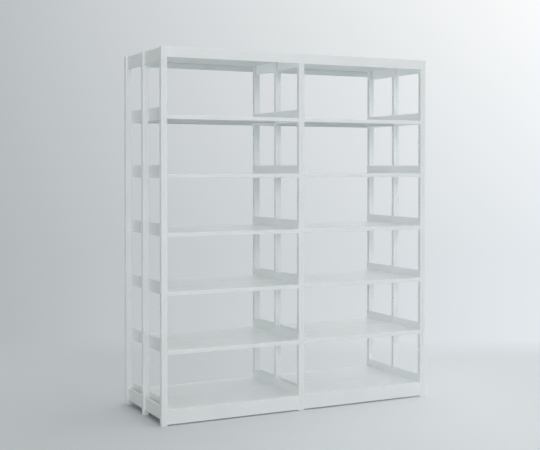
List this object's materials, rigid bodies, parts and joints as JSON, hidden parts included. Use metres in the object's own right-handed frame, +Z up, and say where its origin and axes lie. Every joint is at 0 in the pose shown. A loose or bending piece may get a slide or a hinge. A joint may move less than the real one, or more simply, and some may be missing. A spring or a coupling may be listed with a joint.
{
  "type": "library shelving",
  "caption": "Double-sided library bookshelf of folded sheet steel: slotted posts in side frames, hooked shelves, kick plates and a top fascia.",
  "frame": {"origin": "on the floor, under the middle of the stack", "axes": "+Z up, +X along the bays to the right as seen from the front, -Y out of the front"},
  "size_m": [1.878, 0.676, 2.25],
  "materials": {
    "post_enamel": "satin white enamel",
    "tie_enamel": "satin white enamel",
    "shelf_enamel": "satin white enamel",
    "base_shelf_enamel": "satin white enamel",
    "kick_plate_enamel": "satin white enamel",
    "top_board_enamel": "satin white enamel",
    "fascia_enamel": "satin white enamel"
  },
  "bodies": {
    "root": {"post_left_front": "post_enamel", "post_left_middle": "post_enamel", "post_left_rear": "post_enamel", "post_middle_front": "post_enamel", "post_middle_middle": "post_enamel", "post_middle_rear": "post_enamel", "post_right_front": "post_enamel", "post_right_middle": "post_enamel", "post_right_rear": "post_enamel", "base_tie_left_front": "tie_enamel", "base_tie_left_rear": "tie_enamel", "base_tie_middle_front": "tie_enamel", "base_tie_middle_rear": "tie_enamel", "base_tie_right_front": "tie_enamel", "base_tie_right_rear": "tie_enamel", "top_tie_left_front": "tie_enamel", "top_tie_left_rear": "tie_enamel", "top_tie_middle_front": "tie_enamel", "top_tie_middle_rear": "tie_enamel", "top_tie_right_front": "tie_enamel", "top_tie_right_rear": "tie_enamel", "base_shelf_left_front": "base_shelf_enamel", "shelf_left_front_1": "shelf_enamel", "shelf_left_front_2": "shelf_enamel", "shelf_left_front_3": "shelf_enamel", "shelf_left_front_4": "shelf_enamel", "shelf_left_front_5": "shelf_enamel", "base_shelf_left_rear": "base_shelf_enamel", "shelf_left_rear_1": "shelf_enamel", "shelf_left_rear_2": "shelf_enamel", "shelf_left_rear_3": "shelf_enamel", "shelf_left_rear_4": "shelf_enamel", "shelf_left_rear_5": "shelf_enamel", "base_shelf_right_front": "base_shelf_enamel", "shelf_right_front_1": "shelf_enamel", "shelf_right_front_2": "shelf_enamel", "shelf_right_front_3": "shelf_enamel", "shelf_right_front_4": "shelf_enamel", "shelf_right_front_5": "shelf_enamel", "base_shelf_right_rear": "base_shelf_enamel", "shelf_right_rear_1": "shelf_enamel", "shelf_right_rear_2": "shelf_enamel", "shelf_right_rear_3": "shelf_enamel", "shelf_right_rear_4": "shelf_enamel", "shelf_right_rear_5": "shelf_enamel", "kick_plate_left_front": "kick_plate_enamel", "kick_plate_left_rear": "kick_plate_enamel", "kick_plate_right_front": "kick_plate_enamel", "kick_plate_right_rear": "kick_plate_enamel", "top_board_left": "top_board_enamel", "top_board_right": "top_board_enamel", "fascia_front": "fascia_enamel", "fascia_rear": "fascia_enamel"}
  },
  "joints": []
}
